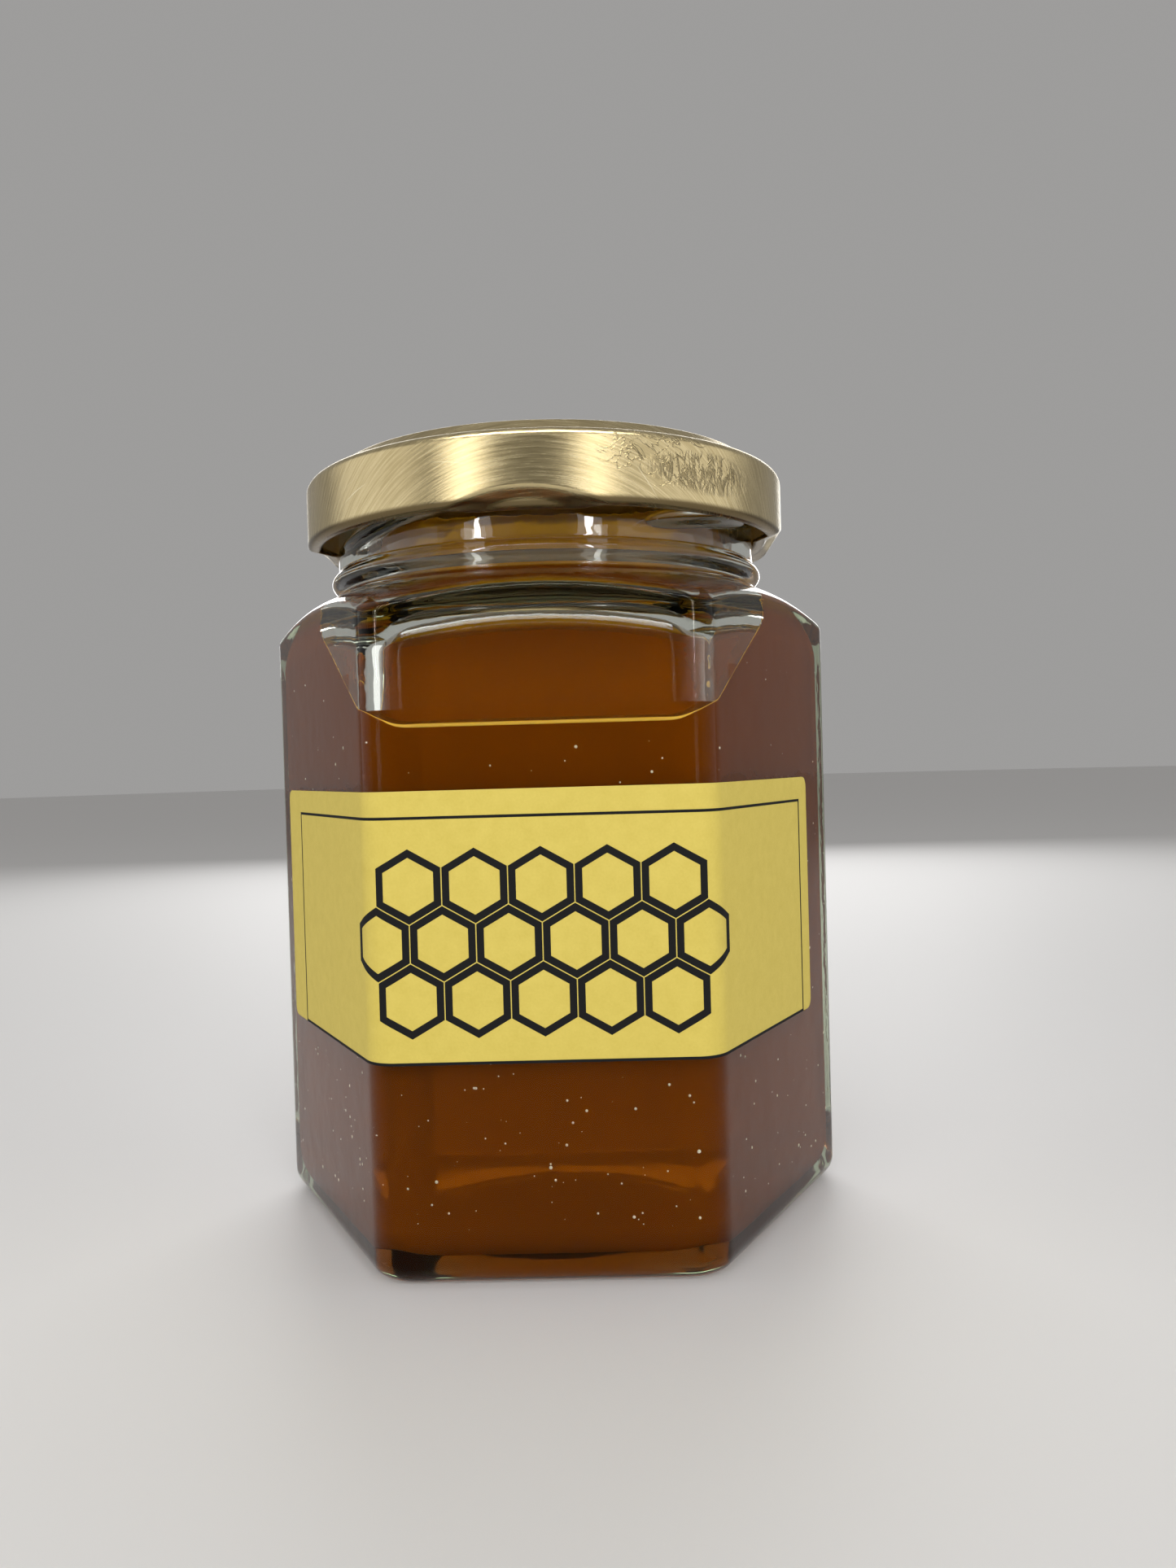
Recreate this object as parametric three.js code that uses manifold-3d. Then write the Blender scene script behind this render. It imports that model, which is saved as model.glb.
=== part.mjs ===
// A hexagonal glass honey jar with a twist-off metal lid, dark honey and a paper label.
// Millimetres, +Z up, the labelled face towards -Y, the origin at the middle of the base.

import * as THREE from 'three';
import { mergeVertices } from 'three/addons/utils/BufferGeometryUtils.js';
import Module from 'manifold-3d';

const wasm = await Module();
wasm.setup();

// Glass body: a six-sided prism
const HALF_FLATS = 34.3; // half of the width between two opposite faces
const CORNER_RADIUS = 4.0; // the upright edges
const HEEL_RADIUS = 3.0; // where the faces turn under to the base
const FOOT_CORNER_RADIUS = 6.5; // the corners are rounder on the base itself
const WALL = 2.8;
const INNER_CORNER_RADIUS = 5.0;
const FLOOR = 2.6; // glass under the honey
const FLOOR_RADIUS = 3.6; // the fillet between the inner walls and the floor
const PUSH_UP_RADIUS = 23.0; // the shallow dome pressed up into the base
const PUSH_UP_HEIGHT = 2.2;

// Glass shoulder and neck: a cone of revolution that cuts the prism off in six arches
const NECK_RADIUS = 29.3;
const NECK_FOOT = 83.9; // where the cone meets the neck
const SHOULDER_SLOPE = 0.464; // fall of the cone for each millimetre outwards
const BEAD_HEIGHT = 86.0; // the handling ring round the neck
const BEAD_HALF = 1.45;
const BEAD_BULGE = 1.0;
const RIM_TOP = 100.0;
const RIM_ROUND = 1.1;
const MOUTH_RADIUS = 26.4;
const SHOULDER_WALL = 3.2; // measured straight down through the cone

// Thread ribs: four short ones, each lowest at its left end
const RIB_COUNT = 4;
const RIB_START = -62; // degrees to the right of the front
const RIB_SWEEP = 62;
const RIB_LOW = 89.6;
const RIB_RISE = 4.6;
const RIB_HALF_HEIGHT = 1.1;
const RIB_PROUD = 1.1;
const RIB_END_FULLNESS = 0.35; // share of the section that is left at the ends

// Lid: pressed sheet with a raised ring on top, a rolled lower edge and four lugs
const LID_RADIUS = 33.4;
const LID_TOP = 101.3;
const LID_BOTTOM = 90.4;
const LID_SHEET = 0.5;
const LEDGE_HEIGHT = 99.4; // top of the outer ledge
const LEDGE_ROUND = 1.3;
const RING_RADIUS = 29.4; // outer edge of the raised ring, over the rim of the glass
const RING_ROUND = 0.6;
const RING_LEAN = 38; // degrees by which its flank leans in from upright
const RING_FOOT = 30.6; // where the flank meets the ledge
const PANEL_RADIUS = 26.0; // the sunken middle of the top
const PANEL_DROP = 0.8;
const CURL_RADIUS = 0.8;
const LUG_COUNT = 4;
const LUG_CENTRE = -1.5; // degrees to the right of the front
const LUG_HALF_ANGLE = 16.7; // degrees, where the crease over a lug runs out at the lower edge
const LUG_RISE = 2.1; // height of the crease over the lower edge, in the middle of a lug
const LUG_SLANT = 1.8; // how far a lug is pressed in for each millimetre below its crease
const LUG_DEPTH = 2.05;
const LUG_ROWS = [0.6, 0.8, 1]; // shares of the rise at which the skirt is divided over the curl

// Honey: fills the jar up to a surface that slopes, low at the front
const HONEY_GAP = 0.3; // clearance to the glass
const HONEY_FRONT_LEVEL = 65.0; // height of the surface on the front wall
const HONEY_SLOPE = 0.86; // rise of the surface for each millimetre towards the back
const HONEY_TOP = 98.0; // under the lid, at the back of the mouth

// Label: a paper band over the front face and on to both its neighbours
const LABEL_BOTTOM = 26.2;
const LABEL_HEIGHT = 31.6;
const LABEL_LEFT = 14.5; // reach past the middle of the left-hand face
const LABEL_RIGHT = 10.3; // reach past the middle of the right-hand face
const LABEL_GAP = 0.05;
const LABEL_PAPER = 0.2;

// How finely the round forms are divided
const CORNER_STEPS = 5;
const FILLET_STEPS = 4;
const ROUND_STEPS = 60;
const DOME_STEPS = 5;
const BEAD_STEPS = 6;
const RIB_STEPS = 8;

const SIDES = 6;
const FRONT = -Math.PI / 2; // direction of the labelled face
const FRONT_LEFT_CORNER = 4; // corners are counted from the one on +X
const FRONT_RIGHT_CORNER = 5;
const INNER_HALF_FLATS = HALF_FLATS - WALL;

const radians = THREE.MathUtils.degToRad;

// Points of a quarter round in the plane of a profile, from one angle to another, in degrees.
function arc(centreX, centreY, radius, from, to, steps = FILLET_STEPS) {
  const points = [];
  for (let step = 0; step <= steps; step++) {
    const angle = radians(from + ((to - from) * step) / steps);
    points.push(new THREE.Vector2(centreX + radius * Math.cos(angle), centreY + radius * Math.sin(angle)));
  }
  return points;
}

const point = (x, y) => new THREE.Vector2(x, y);

// One rounded corner of a hexagon, as points of the plan.
function hexagonCorner(apothem, radius, corner) {
  const axis = (corner * 360) / SIDES;
  const reach = (apothem - radius) / Math.cos(Math.PI / SIDES);
  const centreX = reach * Math.cos(radians(axis));
  const centreY = reach * Math.sin(radians(axis));
  return arc(centreX, centreY, radius, axis - 180 / SIDES, axis + 180 / SIDES, CORNER_STEPS);
}

// A level ring in the form of a hexagon with rounded corners.
function hexagonRing(apothem, radius, height) {
  const ring = [];
  for (let corner = 0; corner < SIDES; corner++) {
    for (const { x, y } of hexagonCorner(apothem, radius, corner)) ring.push(new THREE.Vector3(x, y, height));
  }
  return ring;
}

// A closed body through level rings of equal length, from the lowest to the highest.
function loft(rings) {
  const count = rings[0].length;
  const positions = rings.flat().flatMap((vertex) => vertex.toArray());
  positions.push(0, 0, rings[0][0].z, 0, 0, rings.at(-1)[0].z);
  const lowCentre = rings.length * count;
  const highStart = (rings.length - 1) * count;
  const faces = [];
  for (let i = 0; i < count; i++) {
    const next = (i + 1) % count;
    for (let level = 0; level < rings.length - 1; level++) {
      const low = level * count;
      const high = low + count;
      faces.push(low + i, low + next, high + next, low + i, high + next, high + i);
    }
    faces.push(lowCentre, next, i, lowCentre + 1, highStart + i, highStart + next);
  }
  const geometry = new THREE.BufferGeometry();
  geometry.setAttribute('position', new THREE.Float32BufferAttribute(positions, 3));
  geometry.setIndex(faces);
  return geometry;
}

// A body of revolution about Z from a profile of radius and height that starts and ends on the axis.
function turn(profile) {
  return new THREE.LatheGeometry(profile, ROUND_STEPS).rotateX(Math.PI / 2);
}

// Shared vertices joined and the collapsed triangles on the axis dropped.
function weld(geometry) {
  geometry.deleteAttribute('normal');
  geometry.deleteAttribute('uv');
  const welded = mergeVertices(geometry, 1e-4);
  const kept = [];
  const index = welded.index.array;
  for (let i = 0; i < index.length; i += 3) {
    const [a, b, c] = index.slice(i, i + 3);
    if (a !== b && b !== c && c !== a) kept.push(a, b, c);
  }
  welded.setIndex(kept);
  return welded;
}

function solid(geometry) {
  const welded = weld(geometry);
  const vertProperties = new Float32Array(welded.attributes.position.array);
  const triVerts = new Uint32Array(welded.index.array);
  return new wasm.Manifold(new wasm.Mesh({ numProp: 3, vertProperties, triVerts }));
}

function geometryOf(body) {
  const { vertProperties, triVerts } = body.getMesh();
  const geometry = new THREE.BufferGeometry();
  geometry.setAttribute('position', new THREE.Float32BufferAttribute(vertProperties, 3));
  geometry.setIndex(Array.from(triVerts));
  geometry.computeVertexNormals();
  return geometry;
}

// The six-sided prism, with its edges turned under to the base by a quarter round.
function prism(apothem, cornerRadius, footRadius, base, round, top) {
  const rings = [];
  for (let step = 0; step <= FILLET_STEPS; step++) {
    const angle = ((Math.PI / 2) * step) / FILLET_STEPS;
    const inset = round * (1 - Math.sin(angle));
    const corner = THREE.MathUtils.lerp(footRadius, cornerRadius, Math.sin(angle));
    rings.push(hexagonRing(apothem - inset, corner, base + round * (1 - Math.cos(angle))));
  }
  rings.push(hexagonRing(apothem, cornerRadius, top));
  return loft(rings);
}

// Height of the outer shoulder cone at a radius.
const shoulder = (radius) => NECK_FOOT - SHOULDER_SLOPE * (radius - NECK_RADIUS);

// Outside of the shoulder, the neck with its bead, and the rim.
function neckProfile() {
  const skirt = 2 * HALF_FLATS;
  const profile = [
    point(0, -1),
    point(skirt, -1),
    point(skirt, shoulder(skirt)),
    point(NECK_RADIUS, NECK_FOOT),
  ];
  for (let step = 0; step <= BEAD_STEPS; step++) {
    const across = (2 * step) / BEAD_STEPS - 1;
    const bulge = BEAD_BULGE * Math.cos((across * Math.PI) / 2);
    profile.push(point(NECK_RADIUS + bulge, BEAD_HEIGHT + BEAD_HALF * across));
  }
  profile.push(...arc(NECK_RADIUS - RIM_ROUND, RIM_TOP - RIM_ROUND, RIM_ROUND, 0, 90));
  profile.push(point(0, RIM_TOP));
  return profile;
}

// The hollow of the shoulder and neck, drawn in from the glass by a clearance and closed at a height.
function hollowProfile(clearance, top) {
  const skirt = 2 * HALF_FLATS;
  const mouth = MOUTH_RADIUS - clearance;
  const drop = SHOULDER_WALL + clearance;
  return [
    point(0, 0),
    point(skirt, 0),
    point(skirt, shoulder(skirt) - drop),
    point(mouth, shoulder(mouth) - drop),
    point(mouth, top),
    point(0, top),
  ];
}

// A shallow dome on the axis: the cap of a sphere that rises above a height over a round foot.
function dome(foot, radius, rise) {
  const sphere = (radius * radius + rise * rise) / (2 * rise);
  const half = THREE.MathUtils.radToDeg(Math.asin(radius / sphere));
  const cap = arc(0, foot + rise - sphere, sphere, 90 - half, 90, DOME_STEPS);
  return turn([point(0, foot - 1), point(radius, foot - 1), ...cap.slice(0, -1), point(0, foot + rise)]);
}

// One thread rib: a half-round bar wound up round the neck, slimmer at both ends.
function threadRib(index) {
  const rings = [];
  for (let step = 0; step <= RIB_STEPS; step++) {
    const along = step / RIB_STEPS;
    const angle = FRONT + radians(RIB_START + (360 / RIB_COUNT) * index + RIB_SWEEP * along);
    const fullness = THREE.MathUtils.lerp(RIB_END_FULLNESS, 1, Math.sin(Math.PI * along) ** 0.5);
    const height = RIB_LOW + RIB_RISE * along;
    const section = arc(0, 0, 1, -90, 90, FILLET_STEPS);
    const outline = section.map(({ x, y }) => [NECK_RADIUS + RIB_PROUD * fullness * x, y]);
    outline.push([NECK_RADIUS - WALL / 2, 1], [NECK_RADIUS - WALL / 2, -1]);
    rings.push(
      outline.map(([radius, y]) => {
        const z = height + RIB_HALF_HEIGHT * fullness * y;
        return new THREE.Vector3(radius * Math.cos(angle), radius * Math.sin(angle), z);
      }),
    );
  }
  return sweep(rings);
}

// A closed bar through cross-sections of equal length, with flat ends.
function sweep(sections) {
  const count = sections[0].length;
  const positions = sections.flat().flatMap((vertex) => vertex.toArray());
  const last = (sections.length - 1) * count;
  const faces = [];
  for (let i = 0; i < count; i++) {
    const next = (i + 1) % count;
    for (let level = 0; level < sections.length - 1; level++) {
      const here = level * count;
      const there = here + count;
      faces.push(here + i, there + next, here + next, here + i, there + i, there + next);
    }
    if (i > 0 && i < count - 1) faces.push(0, i, i + 1, last, last + i + 1, last + i);
  }
  const geometry = new THREE.BufferGeometry();
  geometry.setAttribute('position', new THREE.Float32BufferAttribute(positions, 3));
  geometry.setIndex(faces);
  return geometry;
}

// The hollow of the jar, or what fills it, drawn in from the glass by a clearance.
function hollow(clearance, top) {
  const body = prism(
    INNER_HALF_FLATS - clearance,
    INNER_CORNER_RADIUS - clearance,
    INNER_CORNER_RADIUS + FLOOR_RADIUS,
    FLOOR + clearance,
    FLOOR_RADIUS,
    NECK_FOOT + WALL,
  );
  const mouth = MOUTH_RADIUS - clearance;
  const foot = FLOOR + FLOOR_RADIUS;
  const stub = turn([point(0, foot), point(mouth, foot), point(mouth, top), point(0, top)]);
  const floorDome = dome(FLOOR, PUSH_UP_RADIUS, PUSH_UP_HEIGHT + clearance);
  return solid(body)
    .intersect(solid(turn(hollowProfile(clearance, NECK_FOOT + WALL))))
    .add(solid(stub))
    .subtract(solid(floorDome));
}

function jarGlass() {
  const body = prism(HALF_FLATS, CORNER_RADIUS, FOOT_CORNER_RADIUS, 0, HEEL_RADIUS, RIM_TOP + WALL);
  const outside = solid(body).intersect(solid(turn(neckProfile())));
  const ribs = Array.from({ length: RIB_COUNT }, (_, index) => solid(threadRib(index)));
  return ribs
    .reduce((glass, rib) => glass.add(rib), outside)
    .subtract(hollow(0, RIM_TOP + 1))
    .subtract(solid(dome(0, PUSH_UP_RADIUS, PUSH_UP_HEIGHT)));
}

// The honey: what the jar can hold, below a slope that rises from the front wall to the back.
function honey() {
  const reach = 2 * HALF_FLATS;
  const front = point(-INNER_HALF_FLATS, HONEY_FRONT_LEVEL);
  const below = new THREE.Shape([
    point(-reach, 0),
    point(reach, 0),
    point(reach, front.y + HONEY_SLOPE * (reach - front.x)),
    point(-reach, front.y + HONEY_SLOPE * (-reach - front.x)),
  ]);
  const wedge = new THREE.ExtrudeGeometry(below, { depth: 2 * reach, bevelEnabled: false });
  wedge.translate(0, 0, -reach);
  wedge.applyMatrix4(new THREE.Matrix4().makeBasis(
    new THREE.Vector3(0, 1, 0), new THREE.Vector3(0, 0, 1), new THREE.Vector3(1, 0, 0)));
  return hollow(HONEY_GAP, HONEY_TOP).intersect(solid(wedge));
}

// The lid's sheet in section: up the inside, round the curl at the bottom and up over the outside.
function lidProfile() {
  const inside = LID_RADIUS - LID_SHEET;
  const curlX = LID_RADIUS - CURL_RADIUS;
  const curlY = LID_BOTTOM + CURL_RADIUS;
  const panel = LID_TOP - PANEL_DROP;
  return [
    point(0, panel - LID_SHEET),
    point(PANEL_RADIUS, panel - LID_SHEET),
    point(PANEL_RADIUS + PANEL_DROP, LID_TOP - LID_SHEET),
    point(RING_RADIUS - LID_SHEET / 2, LID_TOP - LID_SHEET),
    point(RING_FOOT - LID_SHEET / 2, LEDGE_HEIGHT - LID_SHEET),
    ...arc(inside - LEDGE_ROUND, LEDGE_HEIGHT - LID_SHEET - LEDGE_ROUND, LEDGE_ROUND, 90, 0, 2),
    point(inside, curlY + 2 * CURL_RADIUS),
    ...arc(curlX, curlY, CURL_RADIUS, 60, 360, 6),
    ...LUG_ROWS.map((share) => point(LID_RADIUS, LID_BOTTOM + share * LUG_RISE)),
    ...arc(LID_RADIUS - LEDGE_ROUND, LEDGE_HEIGHT - LEDGE_ROUND, LEDGE_ROUND, 0, 90, 3),
    point(RING_FOOT, LEDGE_HEIGHT),
    ...arc(RING_RADIUS - RING_ROUND, LID_TOP - RING_ROUND, RING_ROUND, RING_LEAN, 90, 2),
    point(PANEL_RADIUS + PANEL_DROP, LID_TOP),
    point(PANEL_RADIUS, panel),
    point(0, panel),
  ];
}

// Four lugs, where the lower edge is pressed inwards to catch under the thread ribs, below an arched crease.
function pressLugs(geometry) {
  const position = geometry.attributes.position;
  const spacing = 360 / LUG_COUNT;
  for (let i = 0; i < position.count; i++) {
    const x = position.getX(i);
    const y = position.getY(i);
    const angle = THREE.MathUtils.radToDeg(Math.atan2(y, x) - FRONT) - LUG_CENTRE;
    const offset = THREE.MathUtils.euclideanModulo(angle + spacing / 2, spacing) - spacing / 2;
    const crease = LID_BOTTOM + LUG_RISE * (1 - (offset / LUG_HALF_ANGLE) ** 2);
    const inward = THREE.MathUtils.clamp(LUG_SLANT * (crease - position.getZ(i)), 0, LUG_DEPTH);
    const radius = Math.hypot(x, y);
    const scale = radius > NECK_RADIUS ? (radius - inward) / radius : 1;
    position.setXY(i, x * scale, y * scale);
  }
  return geometry;
}

// The label's path in plan at a distance from the glass, from its left end to its right end.
function labelPath(distance) {
  const apothem = HALF_FLATS + distance;
  const radius = CORNER_RADIUS + distance;
  const end = (faceAngle, along) =>
    point(
      apothem * Math.cos(faceAngle) - along * Math.sin(faceAngle),
      apothem * Math.sin(faceAngle) + along * Math.cos(faceAngle),
    );
  const turnOfFace = (2 * Math.PI) / SIDES;
  return [
    end(FRONT - turnOfFace, -LABEL_LEFT),
    ...hexagonCorner(apothem, radius, FRONT_LEFT_CORNER),
    ...hexagonCorner(apothem, radius, FRONT_RIGHT_CORNER),
    end(FRONT + turnOfFace, LABEL_RIGHT),
  ];
}

function label() {
  const outline = [...labelPath(LABEL_GAP + LABEL_PAPER), ...labelPath(LABEL_GAP).reverse()];
  const upright = { depth: LABEL_HEIGHT, bevelEnabled: false };
  const band = new THREE.ExtrudeGeometry(new THREE.Shape(outline), upright);
  return weld(band.translate(0, 0, LABEL_BOTTOM));
}

function node(name, geometry, finish) {
  geometry.computeVertexNormals();
  const mesh = new THREE.Mesh(geometry, new THREE.MeshStandardMaterial(finish));
  mesh.name = name;
  return mesh;
}

const jar = new THREE.Group();
jar.add(
  node('jar_glass', geometryOf(jarGlass()), {
    color: 0xdbe8df, roughness: 0.05, metalness: 0, transparent: true, opacity: 0.35,
  }),
  node('honey', geometryOf(honey()), { color: 0x6b3600, roughness: 0.12, metalness: 0 }),
  node('lid', weld(pressLugs(turn(lidProfile()))), { color: 0xcbb475, roughness: 0.32, metalness: 0.9 }),
  node('label', label(), { color: 0xe3d06c, roughness: 0.8, metalness: 0 }),
);

export default jar;
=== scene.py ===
# %% [markdown]
# # A six-sided jar of honey
# The real object is a clear glass jar with six flat faces, filled with dark amber honey, shut by a gold
# twist-off lid and wrapped by a yellow paper label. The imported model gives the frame: where each part is
# and how large. This lesson dresses that frame. Each part is worked out as a surface with numpy, because
# glass, pressed sheet and a liquid are all smooth forms that a formula describes better than a stack of
# primitives.

# %% Load the frame
import math

import bmesh
import bpy
import numpy as np
from mathutils import Matrix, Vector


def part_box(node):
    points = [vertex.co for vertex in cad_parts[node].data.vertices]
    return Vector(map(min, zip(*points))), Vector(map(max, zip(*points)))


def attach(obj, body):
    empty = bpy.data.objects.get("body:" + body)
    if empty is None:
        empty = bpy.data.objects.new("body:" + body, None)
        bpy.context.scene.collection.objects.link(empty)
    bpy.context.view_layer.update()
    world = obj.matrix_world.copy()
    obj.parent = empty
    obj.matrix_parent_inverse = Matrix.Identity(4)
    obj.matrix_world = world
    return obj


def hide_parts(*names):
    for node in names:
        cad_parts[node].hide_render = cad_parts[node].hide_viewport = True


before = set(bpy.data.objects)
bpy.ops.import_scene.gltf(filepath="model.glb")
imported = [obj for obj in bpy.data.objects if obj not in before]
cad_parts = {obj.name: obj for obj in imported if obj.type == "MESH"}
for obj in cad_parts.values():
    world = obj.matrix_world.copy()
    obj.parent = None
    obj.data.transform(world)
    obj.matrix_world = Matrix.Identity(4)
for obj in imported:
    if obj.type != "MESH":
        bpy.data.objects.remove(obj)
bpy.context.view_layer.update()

MM = 0.001
glass_low, glass_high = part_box("jar_glass")
lid_low, lid_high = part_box("lid")
label_low, label_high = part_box("label")
print("glass from", glass_low, "to", glass_high)
print("lid from", lid_low, "to", lid_high)

# %% [markdown]
# ## From a grid of points to a mesh
# Every piece below is a grid: rows run along a profile and columns run round the jar. One helper numbers
# the quads of such a grid, and another puts points and quads into a mesh. Rows that shrink to a point, as
# at the middle of the base, are merged there, which closes the pole.


# %% Mesh helpers
def grid_quads(rows, columns, closed_rows=False, closed_columns=True):
    """Vertex numbers of the quads of a grid. Each face looks along column direction cross row direction, and
    a closed direction comes back to its start."""
    index = np.arange(rows * columns).reshape(rows, columns)
    if closed_columns:
        index = np.hstack([index, index[:, :1]])
    if closed_rows:
        index = np.vstack([index, index[:1]])
    corners = [index[:-1, :-1], index[:-1, 1:], index[1:, 1:], index[1:, :-1]]
    return np.stack(corners, axis=-1).reshape(-1, 4)


def mesh_object(name, points, quads, uv=None, merge=0.001 * MM):
    """An object from points and quads. uv, a pair for each point, fills the piece's own UV map. Points
    closer than merge are joined, and the faces that collapse there are dropped."""
    mesh = bpy.data.meshes.new(name)
    mesh.from_pydata(points.reshape(-1, 3).tolist(), [], quads.tolist())
    if uv is not None:
        layer = mesh.uv_layers.new(name="surface")
        layer.data.foreach_set("uv", uv.reshape(-1, 2)[quads.ravel()].ravel())
    work = bmesh.new()
    work.from_mesh(mesh)
    bmesh.ops.remove_doubles(work, verts=work.verts, dist=merge)
    bmesh.ops.dissolve_degenerate(work, edges=work.edges, dist=merge)
    work.to_mesh(mesh)
    work.free()
    mesh.shade_smooth()
    piece = bpy.data.objects.new(name, mesh)
    bpy.context.scene.collection.objects.link(piece)
    return piece


def grid_object(name, points, closed_rows=False, closed_columns=True, uv=None):
    """An object from a grid of points, rows by columns by three."""
    return mesh_object(name, points, grid_quads(*points.shape[:2], closed_rows, closed_columns), uv)


print("quads in a ring of 3 rows and 4 columns:", len(grid_quads(3, 4)))

# %% [markdown]
# ## The plan of the jar
# Seen from above the body is a hexagon with rounded corners. In polar form the distance to a flat face is
# apothem / cos(angle from the face's middle), and near a corner it is the far side of a small circle. The
# columns of the grid crowd together at the corners, where the glass bends, and spread out over the faces.

# %% Hexagon in polar form
SIDES = 6
SECTOR = 2 * math.pi / SIDES
FRONT = -math.pi / 2
CORNER_COLUMNS = 18
FACE_COLUMNS = 26
CORNER_SPREAD = math.radians(7.0)


def hexagon(angle, apothem, corner):
    """Distance from the axis to a rounded hexagon: apothem / cos on the flats, and at each corner the ray's
    far meeting with the corner circle, whose centre lies (apothem - corner) / cos 30 degrees out."""
    from_face = np.abs((angle - FRONT + SECTOR / 2) % SECTOR - SECTOR / 2)
    from_corner = SECTOR / 2 - from_face
    centre = (apothem - corner) / math.cos(SECTOR / 2)
    inside = np.maximum(corner**2 - (centre * np.sin(from_corner)) ** 2, 0.0)
    rounded = centre * np.cos(from_corner) + np.sqrt(inside)
    on_flat = apothem * np.tan(from_face) <= (apothem - corner) * math.tan(SECTOR / 2)
    return np.where(on_flat, apothem / np.cos(from_face), rounded)


def column_angles():
    """Directions of the grid's columns: for each corner a close group, then a wider group over the face."""
    corner = np.linspace(-CORNER_SPREAD, CORNER_SPREAD, CORNER_COLUMNS, endpoint=False)
    face = np.linspace(CORNER_SPREAD, SECTOR - CORNER_SPREAD, FACE_COLUMNS, endpoint=False)
    sector = np.concatenate([corner, face])
    return (np.arange(SIDES)[:, None] * SECTOR + sector).ravel()


around = column_angles()[None, :]
print("columns round the jar:", around.size)

# %% [markdown]
# ## The glass
# A pressed jar has an outside and an inside. Outside, the shoulder cone cuts each face off in an arch.
# Inside, the hollow follows one wall thickness away, and rounder under the shoulder, where the hot glass
# was blown. Both are the same kind of formula: the radius is the lesser of hexagon and shoulder. Cooling
# glass rounds the corner where two surfaces meet, and a lesser of two lengths that is blended over a given
# width does the same. The neck carries a bead for handling and four thread ribs that the lid's lugs slide
# under.

# %% Sizes of the glass
HALF_FLATS = glass_high[1]
RIM_TOP = glass_high[2]
CORNER = 4.0 * MM
WALL = 2.8 * MM
INNER_CORNER = 5.0 * MM
NECK = 29.3 * MM
NECK_FOOT = 83.9 * MM
MOUTH = 26.4 * MM
SHOULDER_FALL = 0.464
SHOULDER_WALL = 3.2 * MM
ARCH_ROUND = 2.2 * MM
NECK_ROUND = 1.2 * MM
INNER_ROUND = 8.0 * MM

BEAD_LEVEL = 86.0 * MM
BEAD_HALF = 1.45 * MM
BEAD_BULGE = 1.0 * MM

RIBS = 4
RIB_START = math.radians(-62)
RIB_SWEEP = math.radians(62)
RIB_LOW = 89.6 * MM
RIB_RISE = 4.6 * MM
RIB_HALF = 1.25 * MM
RIB_PROUD = 1.1 * MM
RIB_END_POWER = 6
RIB_TIP_SHARE = 0.2
print("across the flats, mm:", 2 * HALF_FLATS / MM)


# %% Outside and inside of the glass
def smooth_min(a, b, width):
    """The lesser of two lengths, blended by a parabola where they differ by less than width."""
    share = np.clip(0.5 + 0.5 * (b - a) / width, 0.0, 1.0)
    return b + (a - b) * share - width * share * (1.0 - share)


def smooth_max(a, b, width):
    """The greater of two lengths, blended in the same way."""
    return -smooth_min(-a, -b, width)


def bead(height):
    """The handling bead: one arch of a cosine."""
    across = np.clip((height - BEAD_LEVEL) / BEAD_HALF, -1.0, 1.0)
    return BEAD_BULGE * np.cos(across * math.pi / 2)


def thread_ribs(angle, height):
    """Four ribs that wind up to the right. Across, each is a raised cosine. Along, with t from 0 to 1, it is
    as full as sqrt(1 - |2t - 1|^6), which makes its ends round."""
    spacing = 2 * math.pi / RIBS
    along = ((angle - FRONT - RIB_START) % spacing) / RIB_SWEEP
    full = np.sqrt(np.clip(1.0 - np.abs(2.0 * along - 1.0) ** RIB_END_POWER, 0.0, 1.0))
    half = RIB_HALF * np.maximum(full, RIB_TIP_SHARE)
    across = np.clip((height - RIB_LOW - RIB_RISE * along) / half, -1.0, 1.0)
    return RIB_PROUD * full * (0.5 + 0.5 * np.cos(across * math.pi)) * (along <= 1.0)


def outer_radius(angle, height):
    """Lesser of the hexagon and the shoulder cone, where the cone in turn gives way to the neck."""
    cone = NECK + (NECK_FOOT - height) / SHOULDER_FALL
    neck = NECK + bead(height) + thread_ribs(angle, height)
    return smooth_min(hexagon(angle, HALF_FLATS, CORNER), smooth_max(cone, neck, NECK_ROUND), ARCH_ROUND)


def inner_radius(angle, height, grow=0.0):
    """The same for the hollow: a smaller hexagon, the cone one shoulder wall lower, and the mouth."""
    cone = NECK + (NECK_FOOT - SHOULDER_WALL - height) / SHOULDER_FALL
    hexagonal = hexagon(angle, HALF_FLATS - WALL + grow, INNER_CORNER + grow)
    return smooth_min(hexagonal, smooth_max(cone, MOUTH + grow, NECK_ROUND), INNER_ROUND)


print("radius at the bead, mm:", outer_radius(FRONT, BEAD_LEVEL) / MM)

# %% [markdown]
# ### The wall as one skin
# Rows follow the outside from the middle of the base up to the rim and return down the inside, so the wall
# is one closed skin. They crowd where the arches and the vault under the shoulder bend, and are few on the
# flats.

# %% Stretches of rows
HEEL = 3.0 * MM
FOOT_CORNER = 6.5 * MM
PUSH_UP_RADIUS = 23.0 * MM
PUSH_UP = 2.2 * MM
FLOOR = 2.6 * MM
FLOOR_ROUND = 3.6 * MM
RIM_ROUND = 1.4 * MM
ARCH_FOOT = 75.0 * MM
ARCH_HEAD = 84.4 * MM
VAULT_TOP = 84.0 * MM
VAULT_FOOT = 72.0 * MM
BASE_ROWS = 16
HEEL_ROWS = 9
RIM_ROWS = 14
FLOOR_EDGE_ROWS = 12
FLOOR_ROWS = 18

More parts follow.
